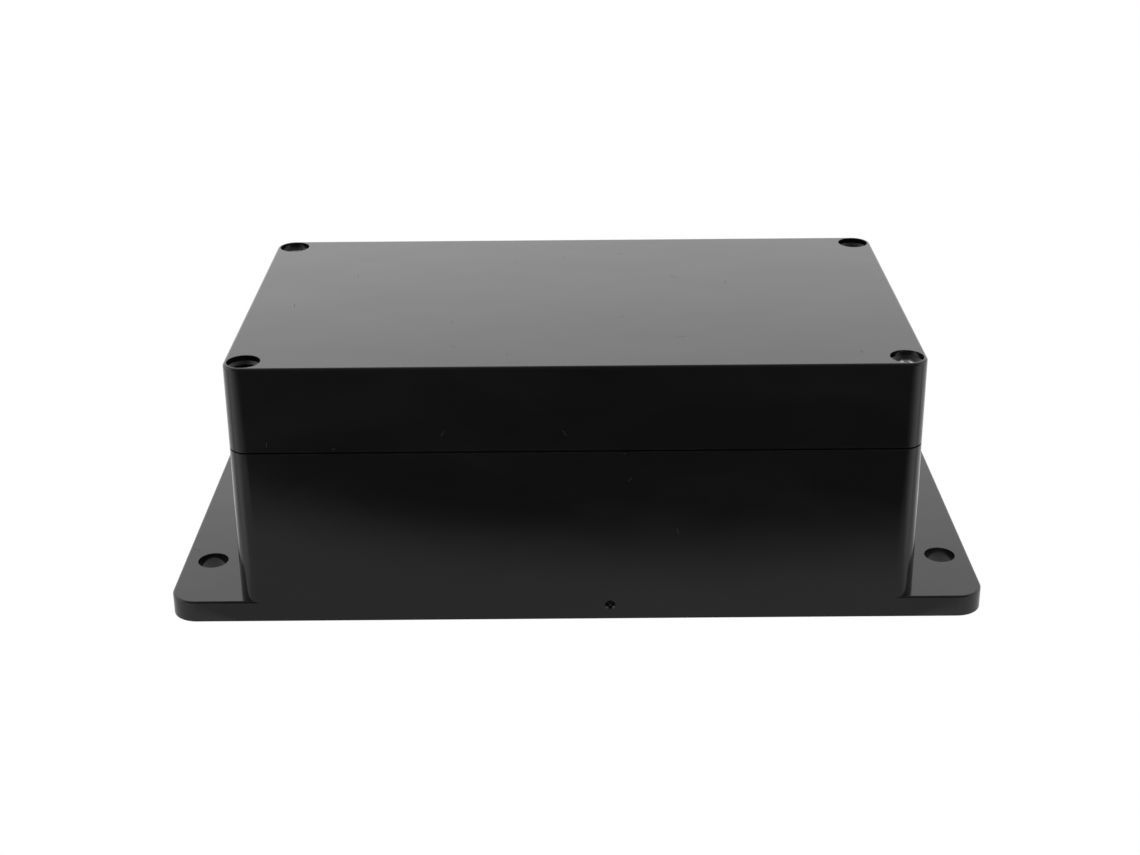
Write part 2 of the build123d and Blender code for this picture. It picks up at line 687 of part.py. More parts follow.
def jack_insulator(x):
    _, _, mouth, _, thread_end, _ = jack_faces()
    sleeve = along_back(
        x, thread_end + 0.05, mouth - JACK_BORE_DEPTH, INSULATOR_RADIUS
    )
    collar_end = mouth - JACK_BORE_DEPTH + 4.0
    sleeve += along_back(
        x, mouth - JACK_BORE_DEPTH, collar_end, JACK_BORE_RADIUS - 0.05
    )
    return sleeve - along_back(x, thread_end - 1, mouth, CONTACT_RADIUS + 0.03)


def jack_contact(x):
    """The centre socket, bored for the mating pin and split by two crossed slots."""
    _, _, mouth, _, thread_end, _ = jack_faces()
    front = mouth - 1.6
    socket = along_back(x, thread_end + 2.6, front, CONTACT_RADIUS)
    socket -= along_back(x, front - 6.0, front + 1, 0.85)
    socket -= along_back(x, thread_end + 2.0, thread_end + 5.0, 0.5)
    slot_centre = front - 1.8
    socket -= Pos(x, slot_centre, PORT_Z) * Box(0.35, 4.4, 4)
    socket -= Pos(x, slot_centre, PORT_Z) * Box(4, 4.4, 0.35)
    return socket


def jack_seal(x):
    flange_back = PAD_FACE_Y + JACK_SEAL_THICKNESS
    ring = along_back(x, PAD_FACE_Y, flange_back, JACK_FLATS / 2)
    return ring - along_back(x, PAD_FACE_Y - 1, flange_back + 1, JACK_HOLE_RADIUS)


def jack_washer(x):
    """A lock washer with inner teeth."""
    washer_back = INNER_WALL_Y - LOCK_WASHER_THICKNESS
    ring = along_back(x, washer_back, INNER_WALL_Y, LOCK_WASHER_RADIUS)
    ring -= along_back(x, washer_back - 1, INNER_WALL_Y + 1, JACK_HOLE_RADIUS)
    notch = Box(1.4, 3, 1.6)
    for tooth in range(LOCK_WASHER_TEETH):
        angle = 2 * pi * (tooth + 0.5) / LOCK_WASHER_TEETH
        place = Pos(x + 8.6 * cos(angle), INNER_WALL_Y, PORT_Z + 8.6 * sin(angle))
        ring -= place * Rot(Y=-degrees(angle)) * notch
    return ring


def jack_nut(x):
    back = INNER_WALL_Y - LOCK_WASHER_THICKNESS
    front = back - NUT_THICKNESS
    nut = hexagon_along_back(x, front, back, JACK_FLATS)
    rounding = along_back(x, front, back, JACK_FLATS / 2 + 1.1)
    nut &= chamfer(rounding.edges().filter_by(GeomType.CIRCLE), 0.5)
    return nut - along_back(x, front - 1, back + 1, JACK_THREAD_RADIUS + 0.05)


def coax_route(side):
    """The lead's corners, from the jack's stub to the plug on the board."""
    _, _, _, _, _, stub_end = jack_faces()
    return [
        (side * JACK_X, stub_end + 5.0, PORT_Z),
        (side * JACK_X, 14.0, PORT_Z),
        (side * (JACK_X - 12), SOCKET_Y, PORT_Z),
        (side * (SOCKET_X + 3.0), SOCKET_Y, PORT_Z),
    ]


def tube_along(points, radius, name):
    """A round lead with straight runs joined by arcs as large as the runs allow."""
    vectors = [Vector(*p) for p in points]
    radii = []
    for before, corner, after in zip(vectors, vectors[1:], vectors[2:]):
        turn = radians((corner - before).get_angle(after - corner))
        shorter = min((corner - before).length, (after - corner).length)
        bend = 0.45 * shorter * cos(turn / 2) / sin(turn / 2)
        radii.append(bend)
    path = FilletPolyline(*vectors, radius=radii)
    start = path @ 0
    section = Plane(origin=start, z_dir=path % 0) * Circle(radius)
    tube = sweep(section, path)
    expected = pi * radius**2 * path.length
    print(name, "radii", [round(r, 1) for r in radii], "length", round(path.length, 1),
          "volume share", round(tube.volume / expected, 4))
    return tube


def coax_plug(side):
    """A right-angle crimp plug that presses down onto its board socket."""
    x = side * SOCKET_X
    head_bottom = BOARD_TOP + 4.4
    head = block((x, SOCKET_Y), PLUG_SIZE, head_bottom)
    head = fillet(head.edges().filter_by(Axis.Z), 0.8)
    collar = post(x, SOCKET_Y, head_bottom - 1.8, PLUG_COLLAR_RADIUS, 1.9)
    collar -= post(x, SOCKET_Y, head_bottom - 2.4, SOCKET_RADIUS + 0.1, 2.2)
    ferrule_centre = x + side * 5.0
    ferrule = Cylinder(FERRULE_RADIUS, FERRULE_LENGTH)
    ferrule = Pos(ferrule_centre, SOCKET_Y, PORT_Z) * Rot(Y=90) * ferrule
    plug = head + ferrule + collar
    bore = Pos(ferrule_centre, SOCKET_Y, PORT_Z) * Rot(Y=90)
    return plug - bore * Cylinder(COAX_RADIUS + 0.12, 5.9)


def board_socket(side):
    x = side * SOCKET_X
    foot = block((x, SOCKET_Y), (6.4, 6.4, 1.6), BOARD_TOP)
    barrel = post(x, SOCKET_Y, BOARD_TOP + 1.6, SOCKET_RADIUS, 2.4)
    return foot + barrel - post(x, SOCKET_Y, BOARD_TOP + 2.2, 1.2, 3)


def inlet_body():
    mouth = INLET_MOUTH_Y
    flange_back = mouth - INLET_FLANGE_THICKNESS
    body = along_back(INLET_X, INLET_BACK_Y, flange_back + 1, INLET_THREAD_RADIUS)
    flange = along_back(INLET_X, flange_back, mouth, INLET_FLANGE_RADIUS)
    flange = chamfer(flange.edges().filter_by(GeomType.CIRCLE).sort_by(Axis.Y)[-1], 0.5)
    body += flange
    body -= along_back(INLET_X, mouth - INLET_DEPTH, mouth + 1, INLET_BORE_RADIUS)
    body -= along_back(INLET_X, INLET_BACK_Y - 1, mouth, INLET_PIN_RADIUS + 0.02)
    slot_from = INLET_BACK_Y - 1
    slot_to = mouth - 3.0
    slot_centre = (INLET_X, (slot_from + slot_to) / 2, PORT_Z - INLET_BORE_RADIUS - 0.55)
    return body - Pos(*slot_centre) * Box(2.3, slot_to - slot_from, 1.3)


def inlet_pin():
    pin = along_back(INLET_X, INLET_TAG_Y, INLET_MOUTH_Y - 0.8, INLET_PIN_RADIUS)
    return fillet(pin.edges().filter_by(GeomType.CIRCLE).sort_by(Axis.Y)[-1], 0.4)


def inlet_spring():
    """The side contact: a strip that bows up into the bore."""
    tip_y = INLET_MOUTH_Y - 3.2
    crest_y = INLET_MOUTH_Y - 5.5
    bottom = SPRING_Z - 0.2
    top = SPRING_Z + 0.15
    crest = SPRING_Z + 0.55
    outline = Polyline(
        (INLET_TAG_Y, bottom), (tip_y, bottom), (tip_y, top), (crest_y, crest),
        (crest_y - 4, top), (INLET_TAG_Y, top), (INLET_TAG_Y, bottom),
    )
    side_of = INLET_X - SPRING_HALF_WIDTH
    profile = Plane((side_of, 0, 0), x_dir=(0, 1, 0), z_dir=(1, 0, 0))
    return extrude(profile * make_face(outline), 2 * SPRING_HALF_WIDTH)


def inlet_seal():
    front = PAD_FACE_Y + INLET_SEAL_THICKNESS
    ring = along_back(INLET_X, PAD_FACE_Y, front, INLET_FLANGE_RADIUS - 0.2)
    return ring - along_back(INLET_X, PAD_FACE_Y - 1, front + 1, INLET_HOLE_RADIUS)


def inlet_nut():
    front = INNER_WALL_Y - INLET_NUT_THICKNESS
    nut = hexagon_along_back(INLET_X, front, INNER_WALL_Y, INLET_NUT_FLATS)
    thread_radius = INLET_THREAD_RADIUS + 0.05
    return nut - along_back(INLET_X, front - 1, INNER_WALL_Y + 1, thread_radius)


def wire_route(offset_x, z, first_run):
    """Corners of an insulated wire, from a tag of the inlet into the header."""
    return [
        (INLET_X, INLET_TAG_Y, z),
        (INLET_X, INLET_TAG_Y - first_run, z),
        (HEADER_X + offset_x, WIRE_END_Y + 9.9, WIRE_Z),
        (HEADER_X + offset_x, WIRE_END_Y, WIRE_Z),
    ]


def status_lens():
    lens = along_back(LAMP_X, INNER_WALL_Y - 4.0, PAD_FACE_Y + 0.6, LENS_RADIUS)
    head = along_back(
        LAMP_X, PAD_FACE_Y, PAD_FACE_Y + LENS_HEAD_HEIGHT, LENS_HEAD_RADIUS
    )
    head = fillet(head.edges().filter_by(GeomType.CIRCLE).sort_by(Axis.Y)[-1], 1.2)
    return lens + head


def status_led():
    """A round lamp that faces the lens, with its two legs down to the board."""
    flange_front = LED_BACK_Y + 0.8
    lamp = along_back(LAMP_X, flange_front, LED_TIP_Y, LED_RADIUS)
    lamp = fillet(lamp.edges().filter_by(GeomType.CIRCLE).sort_by(Axis.Y)[-1], 1.3)
    lamp += along_back(LAMP_X, LED_BACK_Y, flange_front, LED_FLANGE_RADIUS)
    reach = LED_BACK_Y - LED_LEG_Y + 0.3
    drop = PORT_Z - BOARD_TOP + LED_LEG / 2
    for leg_x in (LAMP_X - 0.7, LAMP_X + 0.7):
        across = Box(LED_LEG, reach, LED_LEG)
        lamp += Pos(leg_x, LED_LEG_Y + (reach - 0.2) / 2, PORT_Z) * across
        lamp += block((leg_x, LED_LEG_Y), (LED_LEG, LED_LEG, drop), BOARD_TOP)
    return lamp


def led_holder():
    """The black block that carries the lamp at the lens's height."""
    holder = block((LAMP_X, 30.6), (5.2, 2.6, 10.4), BOARD_TOP)
    holder -= along_back(LAMP_X, LED_BACK_Y - 0.05, 36, LED_FLANGE_RADIUS + 0.05)
    return holder - Pos(LAMP_X, 29.4, PORT_Z) * Box(2.2, 3, 0.9)


parts["base_housing"] = base_housing()
parts["lid"] = lid()
parts["lid_gasket"] = lid_gasket()
parts["lid_screw_inserts"] = lid_screw_inserts()
for corner, (x, y, rise, turn) in CORNERS.items():
    parts["lid_screw_" + corner] = lid_screw(x, y, rise, turn)
    parts["lid_screw_washer_" + corner] = lid_screw_washer(x, y, rise)
parts["heat_spreader"] = heat_spreader()
parts["spreader_screws"] = spreader_screws()
parts["thermal_pads"] = thermal_pads()
parts["board_standoffs"] = board_standoffs()
parts["main_board"] = main_board()
parts["board_screws"] = board_screws()
for name, side in {"uplink": -1, "downlink": 1}.items():
    parts[name + "_shield_frame"] = shield_frame(side)
    parts[name + "_shield_lid"] = shield_lid(side)
    parts[name + "_amplifiers"] = amplifiers(side)
for name, side in SIDES.items():
    x = side * JACK_X
    parts[name + "_duplexer"] = duplexer(side)
    parts[name + "_jack_body"] = jack_body(x)
    parts[name + "_jack_insulator"] = jack_insulator(x)
    parts[name + "_jack_contact"] = jack_contact(x)
    parts[name + "_jack_seal"] = jack_seal(x)
    parts[name + "_jack_washer"] = jack_washer(x)
    parts[name + "_jack_nut"] = jack_nut(x)
    parts[name + "_coax"] = tube_along(coax_route(side), COAX_RADIUS, name + "_coax")
parts["coax_plugs"] = group(coax_plug(side) for side in SIDES.values())
parts["board_coax_sockets"] = group(board_socket(side) for side in SIDES.values())
parts["controller_chip"] = controller_chip()
parts["power_inductors"] = power_inductors()
parts["filter_capacitors"] = filter_capacitors()
parts["chip_parts"] = chip_parts()
parts["power_header"] = power_header()
parts["power_jack_body"] = inlet_body()
parts["power_jack_pin"] = inlet_pin()
parts["power_jack_spring"] = inlet_spring()
parts["power_jack_seal"] = inlet_seal()
parts["power_jack_nut"] = inlet_nut()
positive_route = wire_route(WIRE_OFFSET, PORT_Z, 6.0)
negative_route = wire_route(-WIRE_OFFSET, SPRING_Z, 5.0)
parts["power_lead_positive"] = tube_along(positive_route, WIRE_RADIUS, "positive")
parts["power_lead_negative"] = tube_along(negative_route, WIRE_RADIUS, "negative")
parts["status_lens"] = status_lens()
parts["status_led"] = status_led()
parts["led_holder"] = led_holder()

os.makedirs("parts", exist_ok=True)
for name, shape in parts.items():
    export_step(solid_of(shape), f"parts/{name}.step")
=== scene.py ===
import json
import math

import bpy
from mathutils import Matrix, Vector


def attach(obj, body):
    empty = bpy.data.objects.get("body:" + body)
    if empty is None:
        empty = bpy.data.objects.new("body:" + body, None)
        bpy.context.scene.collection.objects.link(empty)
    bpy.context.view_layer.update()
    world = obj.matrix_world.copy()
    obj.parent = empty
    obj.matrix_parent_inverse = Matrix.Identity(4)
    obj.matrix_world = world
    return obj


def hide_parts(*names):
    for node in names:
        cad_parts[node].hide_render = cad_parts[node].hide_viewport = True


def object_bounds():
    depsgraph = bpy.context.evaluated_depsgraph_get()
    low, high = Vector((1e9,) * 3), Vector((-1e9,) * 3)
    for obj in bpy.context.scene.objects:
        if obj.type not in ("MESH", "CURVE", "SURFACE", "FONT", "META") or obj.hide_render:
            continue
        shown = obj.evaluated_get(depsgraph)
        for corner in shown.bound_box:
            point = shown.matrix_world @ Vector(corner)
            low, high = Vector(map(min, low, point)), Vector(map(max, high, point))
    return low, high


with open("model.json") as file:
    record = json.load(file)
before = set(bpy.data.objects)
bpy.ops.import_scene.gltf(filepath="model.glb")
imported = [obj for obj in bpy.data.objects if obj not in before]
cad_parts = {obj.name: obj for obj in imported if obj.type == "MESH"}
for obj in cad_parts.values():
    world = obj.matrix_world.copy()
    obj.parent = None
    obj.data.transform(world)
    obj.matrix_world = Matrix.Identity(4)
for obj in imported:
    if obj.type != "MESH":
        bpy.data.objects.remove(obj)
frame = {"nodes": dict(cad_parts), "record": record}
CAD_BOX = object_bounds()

NODES = frame["nodes"]
MM = 0.001


# ---------------------------------------------------------------- camera and light

CAMERA_PLACE = Vector((-0.54, -396.1, 208.96)) * MM
CAMERA_PITCH = math.radians(24.337)
CAMERA_YAW = math.radians(-0.077)
CAMERA_ROLL = math.radians(-0.485)
SENSOR_WIDTH = 36.0
LENS = 54.22
SHIFT_X = -0.0009
SHIFT_Y = -0.0030


def make_camera():
    """A camera that looks down on the long front wall, a little rolled, as the product picture does."""
    ahead = Vector((
        math.sin(CAMERA_YAW) * math.cos(CAMERA_PITCH),
        math.cos(CAMERA_YAW) * math.cos(CAMERA_PITCH),
        -math.sin(CAMERA_PITCH),
    ))
    level = Vector((math.cos(CAMERA_YAW), -math.sin(CAMERA_YAW), 0.0))
    upright = level.cross(ahead)
    right = math.cos(CAMERA_ROLL) * level + math.sin(CAMERA_ROLL) * upright
    up = math.cos(CAMERA_ROLL) * upright - math.sin(CAMERA_ROLL) * level
    data = bpy.data.cameras.new("camera")
    data.sensor_width = SENSOR_WIDTH
    data.lens = LENS
    data.shift_x = SHIFT_X
    data.shift_y = SHIFT_Y
    data.clip_start = 0.01
    data.clip_end = 50.0
    camera = bpy.data.objects.new("camera", data)
    turn = Matrix((right, up, -ahead)).transposed().to_4x4()
    camera.matrix_world = Matrix.Translation(CAMERA_PLACE) @ turn
    bpy.context.scene.collection.objects.link(camera)
    bpy.context.scene.camera = camera


def smooth_step(tree, value, low, high, to_low, to_high):
    """value eased from one level to another between low and high."""
    node = tree.nodes.new("ShaderNodeMapRange")
    node.interpolation_type = "SMOOTHSTEP"
    for name, number in zip(
        ("From Min", "From Max", "To Min", "To Max"), (low, high, to_low, to_high)
    ):
        node.inputs[name].default_value = number
    tree.links.new(value, node.inputs["Value"])
    return node.outputs["Result"]


def combine(tree, kind, a, b):
    """One maths node on two values, the second of which may be a number."""
    node = tree.nodes.new("ShaderNodeMath")
    node.operation = kind
    tree.links.new(a, node.inputs[0])
    if isinstance(b, (int, float)):
        node.inputs[1].default_value = b
    else:
        tree.links.new(b, node.inputs[1])
    return node.outputs[0]


LOW_LIGHT = 1.8
HIGH_LIGHT = 0.95
CEILING_SHADE = 0.5
FRONT_SHADE = 0.10


def make_world():
    """A white studio that is brightest low down behind and beside the object, and dark in front."""
    world = bpy.data.worlds.new("studio")
    bpy.context.scene.world = world
    world.use_nodes = True
    tree = world.node_tree
    tree.nodes.clear()
    split = tree.nodes.new("ShaderNodeSeparateXYZ")
    place = tree.nodes.new("ShaderNodeTexCoord")
    tree.links.new(place.outputs["Generated"], split.inputs[0])
    height = smooth_step(tree, split.outputs["Z"], 0.3, 0.75, LOW_LIGHT, HIGH_LIGHT)
    front = smooth_step(tree, split.outputs["Y"], -0.62, -0.15, FRONT_SHADE, 1.0)
    tilt = smooth_step(tree, split.outputs["X"], -0.5, 0.5, 1.09, 0.92)
    ceiling = smooth_step(tree, split.outputs["Z"], 0.72, 0.9, 1.0, CEILING_SHADE)
    level = combine(tree, "MULTIPLY", height, ceiling)
    lit = combine(tree, "MULTIPLY", combine(tree, "MULTIPLY", level, front), tilt)
    path = tree.nodes.new("ShaderNodeLightPath")
    level = combine(tree, "MAXIMUM", lit, path.outputs["Is Camera Ray"])
    background = tree.nodes.new("ShaderNodeBackground")
    tree.links.new(level, background.inputs["Strength"])
    output = tree.nodes.new("ShaderNodeOutputWorld")
    tree.links.new(background.outputs[0], output.inputs["Surface"])


FLOOR_SIZE = 12.0
FLOOR_DROP = 0.0002
FLOOR_NEAR = 0.46
FLOOR_DARK = 0.085
FADE_START = 0.010
FADE_END = 0.057
SHADE_CENTRE = 0.03
SHADE_CURVE = 2.4
SIDE_PLACE = 0.079
NEAR_START = 0.004
NEAR_END = 0.02
NEAR_SHARE = 0.66
SIDE_START = 0.2
SIDE_END = 1.4


def make_floor():
    """A white sweep. In reflections it dims in front of the object, as where a camera stands."""
    front = CAD_BOX[0].y
    half = FLOOR_SIZE / 2
    z = CAD_BOX[0].z - FLOOR_DROP
    corners = [(-half, -half, z), (half, -half, z), (half, half, z), (-half, half, z)]
    mesh = bpy.data.meshes.new("floor")
    mesh.from_pydata(corners, [], [(0, 1, 2, 3)])
    floor = bpy.data.objects.new("floor", mesh)
    bpy.context.scene.collection.objects.link(floor)
    material = bpy.data.materials.new("floor")
    material.use_nodes = True
    tree = material.node_tree
    tree.nodes.clear()
    place = tree.nodes.new("ShaderNodeTexCoord")
    split = tree.nodes.new("ShaderNodeSeparateXYZ")
    tree.links.new(place.outputs["Object"], split.inputs[0])
    aim = combine(tree, "SUBTRACT", split.outputs["X"], SHADE_CENTRE)
    bow = combine(tree, "MULTIPLY", combine(tree, "MULTIPLY", aim, aim), SHADE_CURVE)
    bowed = combine(tree, "ADD", split.outputs["Y"], bow)
    ahead = smooth_step(
        tree, bowed, front - FADE_END, front - FADE_START, FLOOR_DARK, FLOOR_NEAR
    )
    beyond = smooth_step(tree, split.outputs["Y"], front, front + 0.03, 0.0, 1.0)
    sideways = combine(tree, "ABSOLUTE", split.outputs["X"], 0.0)
    outward = combine(tree, "SUBTRACT", sideways, SIDE_PLACE)
    forward = combine(tree, "ADD", combine(tree, "MULTIPLY", split.outputs["Y"], -1.0), front)
    around = combine(tree, "ARCTAN2", outward, forward)
    aside = smooth_step(tree, around, SIDE_START, SIDE_END, 0.0, 1.0)
    away = smooth_step(tree, forward, NEAR_START, NEAR_END, NEAR_SHARE, 1.0)
    aside = combine(tree, "MULTIPLY", aside, away)
    open_floor = combine(tree, "MAXIMUM", aside, beyond)
    level = combine(tree, "MAXIMUM", ahead, open_floor)
    path = tree.nodes.new("ShaderNodeLightPath")
    level = combine(tree, "MAXIMUM", level, path.outputs["Is Camera Ray"])
    glow = tree.nodes.new("ShaderNodeEmission")
    tree.links.new(level, glow.inputs["Strength"])
    output = tree.nodes.new("ShaderNodeOutputMaterial")
    tree.links.new(glow.outputs[0], output.inputs["Surface"])
    floor.data.materials.append(material)


# ---------------------------------------------------------------- material kit

class Shader:
    """A material's node tree, with short calls for the nodes that the materials share."""

    def __init__(self, name):
        self.material = bpy.data.materials.new(name)
        self.material.use_nodes = True
        self.tree = self.material.node_tree
        self.surface = self.tree.nodes["Principled BSDF"]
        self.place = self.tree.nodes.new("ShaderNodeTexCoord").outputs["Object"]

    def link(self, source, target):
        self.tree.links.new(source, target)

    def stretched(self, factors, place=None):
        """The place, scaled differently along each axis."""
        node = self.tree.nodes.new("ShaderNodeMapping")
        node.inputs["Scale"].default_value = factors
        self.link(place or self.place, node.inputs["Vector"])
        return node.outputs["Vector"]

    def vector(self, kind, a, b):
        node = self.tree.nodes.new("ShaderNodeVectorMath")
        node.operation = kind
        self.link(a, node.inputs[0])
        self.link(b, node.inputs[1])
        return node.outputs["Vector"]

    def one_vector(self, kind, a):
        node = self.tree.nodes.new("ShaderNodeVectorMath")
        node.operation = kind
        self.link(a, node.inputs[0])
        return node.outputs["Vector"]

    def warped(self, scale, reach):
        """The place, pushed about by up to reach, so that what follows it isn't straight."""
        node = self.tree.nodes.new("ShaderNodeTexNoise")
        node.inputs["Scale"].default_value = scale
        node.inputs["Detail"].default_value = 1.0
        self.link(self.place, node.inputs["Vector"])
        push = self.tree.nodes.new("ShaderNodeVectorMath")
        push.operation = "SCALE"
        push.inputs["Scale"].default_value = reach
        self.link(node.outputs["Color"], push.inputs[0])
        return self.vector("ADD", self.place, push.outputs["Vector"])

    def edge_wear(self, radius, scale):
        """How far an outer edge is rubbed: the rounded normal's turn, broken up by noise."""
        bevel = self.tree.nodes.new("ShaderNodeBevel")
        bevel.samples = 4
        bevel.inputs["Radius"].default_value = radius
        plain = self.tree.nodes.new("ShaderNodeNewGeometry")
        match = self.tree.nodes.new("ShaderNodeVectorMath")
        match.operation = "DOT_PRODUCT"
        self.link(bevel.outputs["Normal"], match.inputs[0])
        self.link(plain.outputs["Normal"], match.inputs[1])
        turned = self.span(match.outputs["Value"], 0.9, 0.995, 1.0, 0.0)
        patchy = self.span(self.noise(scale, 3.0), 0.42, 0.62, 0.0, 1.0)
        return self.maths("MULTIPLY", turned, patchy)

    def noise(self, scale, detail=3.0, rough=0.55, place=None):
        node = self.tree.nodes.new("ShaderNodeTexNoise")
        node.inputs["Scale"].default_value = scale
        node.inputs["Detail"].default_value = detail
        node.inputs["Roughness"].default_value = rough
        self.link(place or self.place, node.inputs["Vector"])
        return node.outputs["Fac"]

    def cells(self, scale, place=None):
        """A cell pattern's node, whose outputs are each cell's distance, colour and position."""
        node = self.tree.nodes.new("ShaderNodeTexVoronoi")
        node.inputs["Scale"].default_value = scale
        self.link(place or self.place, node.inputs["Vector"])
        return node

    def split(self, vector):
        """The x, y and z of a vector."""
        node = self.tree.nodes.new("ShaderNodeSeparateXYZ")
        self.link(vector, node.inputs[0])
        return node.outputs

    def dice(self, colour):
        """Three chances between 0 and 1, from a cell's colour."""
        node = self.tree.nodes.new("ShaderNodeSeparateColor")
        self.link(colour, node.inputs[0])
        return node.outputs

    def size_of(self, value):
        return self.maths("ABSOLUTE", value, 0.0)

    def span(self, value, low, high, to_low, to_high):
        """value moved from one range to another, and held within it."""
        node = self.tree.nodes.new("ShaderNodeMapRange")
        for name, number in zip(
            ("From Min", "From Max", "To Min", "To Max"), (low, high, to_low, to_high)
        ):
            node.inputs[name].default_value = number
        self.link(value, node.inputs["Value"])
        return node.outputs["Result"]

    def maths(self, kind, a, b):
        node = self.tree.nodes.new("ShaderNodeMath")
        node.operation = kind
        for value, socket in ((a, node.inputs[0]), (b, node.inputs[1])):
            if isinstance(value, (int, float)):
                socket.default_value = value
            else:
                self.link(value, socket)
        return node.outputs[0]

    def mix(self, share, first, second):
        """A colour between two; each may be a colour or another node's output."""
        node = self.tree.nodes.new("ShaderNodeMix")
        node.data_type = "RGBA"
        self.link(share, node.inputs["Factor"])
        for value, socket in ((first, node.inputs[6]), (second, node.inputs[7])):
            if isinstance(value, tuple):
                socket.default_value = (*value, 1.0)
            else:
                self.link(value, socket)
        return node.outputs[2]

    def bump(self, height, depth, strength=1.0, under=None):
        node = self.tree.nodes.new("ShaderNodeBump")
        node.inputs["Distance"].default_value = depth
        node.inputs["Strength"].default_value = strength
        self.link(height, node.inputs["Height"])
        if under is not None:
            self.link(under, node.inputs["Normal"])
        return node.outputs["Normal"]

    def colour(self, source):
        self.link(source, self.surface.inputs["Base Color"])

    def roughness(self, source):
        self.link(source, self.surface.inputs["Roughness"])

    def normal(self, source):
        self.link(source, self.surface.inputs["Normal"])

    def fixed(self, **values):
        for name, value in values.items():
            self.surface.inputs[name.replace("_", " ")].default_value = value


HAIR_CELLS = 75.0
HAIR_RARITY = 0.78
HAIR_HALF_WIDTH = 0.00006
HAIR_HALF_LENGTH = 0.0012
SPECK_CELLS = 420.0
SPECK_RARITY = 0.978
SPECK_SIZE = 0.055
FACING = 0.8


def hairs_on_faces(s, axis, along_axis, across_axis, faces):
    """Short curved fibres, each at its own angle, on the faces that look along one axis."""
    flat = tuple(0 if axis == other else 1 for other in "XYZ")
    place = s.stretched(flat, s.warped(60.0, 0.0012))
    cell = s.cells(HAIR_CELLS, place)
    chances = s.dice(cell.outputs["Color"])
    offset = s.vector("SUBTRACT", place, cell.outputs["Position"])
    turn = s.tree.nodes.new("ShaderNodeVectorRotate")
    turn.rotation_type = axis + "_AXIS"
    s.link(offset, turn.inputs["Vector"])
    s.link(s.maths("MULTIPLY", chances[1], 6.2), turn.inputs["Angle"])
    turned = s.split(turn.outputs[0])
    thin = s.maths("LESS_THAN", s.size_of(turned[across_axis]), HAIR_HALF_WIDTH)
    length = s.maths("MULTIPLY", chances[2], HAIR_HALF_LENGTH)
    short = s.maths("LESS_THAN", s.size_of(turned[along_axis]), length)
    rare = s.maths("GREATER_THAN", chances[0], HAIR_RARITY)
    chosen = s.maths("GREATER_THAN", s.size_of(faces[axis]), FACING)
    return s.maths("MULTIPLY", s.maths("MULTIPLY", thin, short), s.maths("MULTIPLY", rare, chosen))


def dust_and_hairs(s):
    """Rare specks and short fibres of dust that lie on the upright and the flat faces."""
    faces = s.split(s.tree.nodes.new("ShaderNodeTexCoord").outputs["Normal"])
    specks = s.cells(SPECK_CELLS)
    rare = s.maths("GREATER_THAN", s.dice(specks.outputs["Color"])[0], SPECK_RARITY)
    small = s.maths("LESS_THAN", specks.outputs["Distance"], SPECK_SIZE)
    dust = s.maths("MULTIPLY", rare, small)
    for axes in (("X", "Y", "Z"), ("Y", "X", "Z"), ("Z", "X", "Y")):
        dust = s.maths("MAXIMUM", dust, hairs_on_faces(s, *axes, faces))
    return dust


def case_plastic():
    """Black moulded plastic: satin gloss, flow haze, smears, rubbed edges and a little dust."""
    s = Shader("case_plastic")
    s.fixed(IOR=1.5)
    haze = s.noise(14.0, 5.0, 0.62, s.warped(9.0, 0.05))
    smear = s.noise(30.0, 4.0, 0.65, s.stretched((0.35, 1.0, 1.0), s.warped(24.0, 0.02)))
    dust = dust_and_hairs(s)
    rubbed = s.edge_wear(0.0007, 240.0)
    film = s.span(smear, 0.42, 0.64, 0.0, 1.0)
    tone = s.mix(film, (0.0052, 0.0052, 0.0054), (0.0125, 0.0123, 0.0121))
    worn = s.mix(rubbed, tone, (0.014, 0.014, 0.014))
    s.colour(s.mix(dust, worn, (0.055, 0.052, 0.048)))
    soft = s.maths("ADD", s.span(haze, 0.3, 0.7, 0.10, 0.15), s.maths("MULTIPLY", film, 0.05))
    soft = s.maths("ADD", soft, s.maths("MULTIPLY", rubbed, 0.12))
    s.roughness(s.maths("ADD", soft, s.maths("MULTIPLY", dust, 0.5)))
    wave = s.bump(s.noise(30.0, 2.5, 0.5), 0.00018, 0.75)
    pits = s.bump(s.noise(2600.0, 2.0, 0.5), 0.000004, 0.5, wave)
    s.normal(s.bump(dust, 0.00003, 0.6, pits))
    return s.material


def rubber(name, tone, rough=0.62):
    """Moulded silicone or rubber: matt, with a fine powdery bloom."""
    s = Shader(name)
    bloom = s.noise(900.0, 4.0, 0.7)
    lighter = tuple(min(1.0, c * 1.7 + 0.01) for c in tone)
    s.colour(s.mix(s.span(bloom, 0.35, 0.75, 0.0, 1.0), tone, lighter))
    s.roughness(s.span(bloom, 0.3, 0.7, rough, rough + 0.16))
    s.normal(s.bump(s.noise(4200.0, 2.0), 0.00001, 0.7))
    return s.material


def metal(name, tone, rough, stretch=(1.0, 1.0, 1.0), scratch_scale=2600.0, tarnish=0.82):
    """Bare or plated metal with fine tool marks along the unstretched axes and a little tarnish."""
    s = Shader(name)
    s.fixed(Metallic=1.0)
    marks = s.noise(scratch_scale, 3.0, 0.6, s.stretched(stretch))
    patches = s.noise(160.0, 4.0, 0.6)
    darker = tuple(c * tarnish for c in tone)
    s.colour(s.mix(s.span(patches, 0.35, 0.7, 0.0, 1.0), tone, darker))
    worn = s.maths("MULTIPLY", s.span(patches, 0.3, 0.7, 0.85, 1.25), rough)
    s.roughness(s.maths("ADD", worn, s.span(marks, 0.3, 0.7, 0.0, 0.08)))
    s.normal(s.bump(marks, 0.000006, 0.6))
    return s.material


